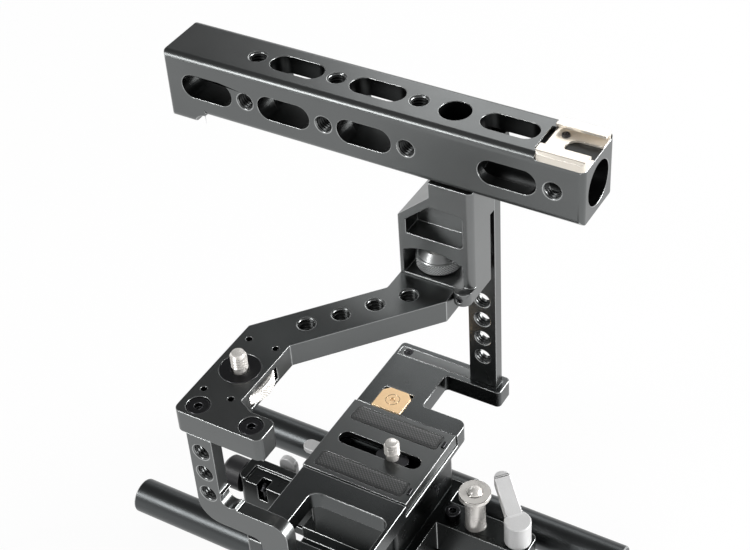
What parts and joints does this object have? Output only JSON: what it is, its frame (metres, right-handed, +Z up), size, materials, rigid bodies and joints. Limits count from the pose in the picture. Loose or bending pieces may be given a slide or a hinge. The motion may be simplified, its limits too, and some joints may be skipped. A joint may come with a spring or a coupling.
{
  "type": "camera cage",
  "caption": "Camera cage of two flat side frames, a bent top arm with riser and slotted handle, a sliding camera plate, and a clamp holding two rods.",
  "frame": {"origin": "on the underside, midway between the rods and under the middle of the camera plate", "axes": "+X forward along the rods and the handle towards the cold shoe, +Y from the near frame to the far frame, +Z up"},
  "size_m": [0.205, 0.1299, 0.205],
  "materials": {
    "anodised": "fine blasted black anodising",
    "rod_anodised": "satin black anodising",
    "black_steel": "black oxide",
    "steel": "plain stainless steel",
    "grey_metal": "knurled grey anodising",
    "lever_metal": "satin grey",
    "nickel": "nickel plated",
    "rubber": "ribbed black rubber",
    "knob_black": "satin black",
    "brass": "milled brass"
  },
  "bodies": {
    "cage": {"base_plate": "anodised", "near_frame": "anodised", "far_frame": "anodised", "top_arm": "anodised", "handle_bar": "anodised", "riser_block": "anodised", "support_column": "anodised", "clamp_body": "anodised", "near_frame_screws": "black_steel", "far_beam_screw": "black_steel", "far_post_screws": "black_steel", "arm_cap_screws": "black_steel", "handle_screw": "black_steel", "shoe_screws": "black_steel", "riser_set_screw": "black_steel", "accessory_disc": "black_steel", "column_screws": "black_steel", "clamp_screws": "black_steel", "tongue_screw": "black_steel", "catch_pin": "black_steel", "riser_stud": "steel", "release_pivot": "steel", "cold_shoe": "nickel", "locating_block": "brass", "locating_screw": "brass"},
    "thumbwheel": {"riser_thumbwheel": "grey_metal"},
    "accessory_drive": {"accessory_screw": "steel", "accessory_wheel": "steel"},
    "camera_plate": {"camera_plate": "anodised", "pad_far": "rubber", "pad_near": "rubber", "plate_stop_pins": "black_steel"},
    "screw_carriage": {"screw_clip": "black_steel"},
    "camera_screw": {"camera_screw": "steel"},
    "rod_near": {"rod_near": "rod_anodised"},
    "rod_far": {"rod_far": "rod_anodised"},
    "lock_pin": {"lock_pin": "steel"},
    "front_lever": {"front_lever": "lever_metal"},
    "rear_lever": {"rear_lever": "lever_metal"},
    "rear_knob": {"rear_knob": "knob_black"},
    "release_lever": {"release_lever": "lever_metal"}
  },
  "joints": [
    {"name": "thumbwheel_turn", "type": "hinge", "parent": "cage", "child": "thumbwheel", "pos_m": [0.0052, 0.0455, 0.1337], "axis": [0, 0, 1], "continuous": true},
    {"name": "accessory_turn", "type": "hinge", "parent": "cage", "child": "accessory_drive", "pos_m": [-0.0326, -0.0396, 0.123], "axis": [0, 0, 1], "continuous": true},
    {"name": "plate_slide", "type": "slide", "parent": "cage", "child": "camera_plate", "axis": [1, 0, 0], "range_m": [-0.015, 0.025]},
    {"name": "carriage_slide", "type": "slide", "parent": "camera_plate", "child": "screw_carriage", "axis": [1, 0, 0], "range_m": [-0.0168, 0.0052]},
    {"name": "camera_screw_turn", "type": "hinge", "parent": "screw_carriage", "child": "camera_screw", "pos_m": [0.0057, 0.00035, 0.062], "axis": [0, 0, 1], "continuous": true},
    {"name": "rod_near_slide", "type": "slide", "parent": "cage", "child": "rod_near", "axis": [1, 0, 0], "range_m": [-0.05, 0.05]},
    {"name": "rod_far_slide", "type": "slide", "parent": "cage", "child": "rod_far", "axis": [1, 0, 0], "range_m": [-0.05, 0.05]},
    {"name": "lock_pin_pull", "type": "slide", "parent": "cage", "child": "lock_pin", "axis": [0, 0, 1], "range_m": [0, 0.0045], "stiffness_N_per_m": 300, "springref_m": -0.005},
    {"name": "front_lever_turn", "type": "hinge", "parent": "cage", "child": "front_lever", "pos_m": [0.058, 0.0079, 0.036], "axis": [0, 0, 1], "range_deg": [-150, 0]},
    {"name": "rear_lever_turn", "type": "hinge", "parent": "cage", "child": "rear_lever", "pos_m": [-0.049, 0, 0.02], "axis": [0, 1, 0], "range_deg": [-80, 80]},
    {"name": "rear_knob_turn", "type": "hinge", "parent": "cage", "child": "rear_knob", "pos_m": [-0.0643, -0.0079, 0.024], "axis": [1, 0, 0], "continuous": true},
    {"name": "release_lever_turn", "type": "hinge", "parent": "cage", "child": "release_lever", "pos_m": [-0.014, 0, 0.0496], "axis": [0, 0, 1], "range_deg": [-20, 20]}
  ]
}
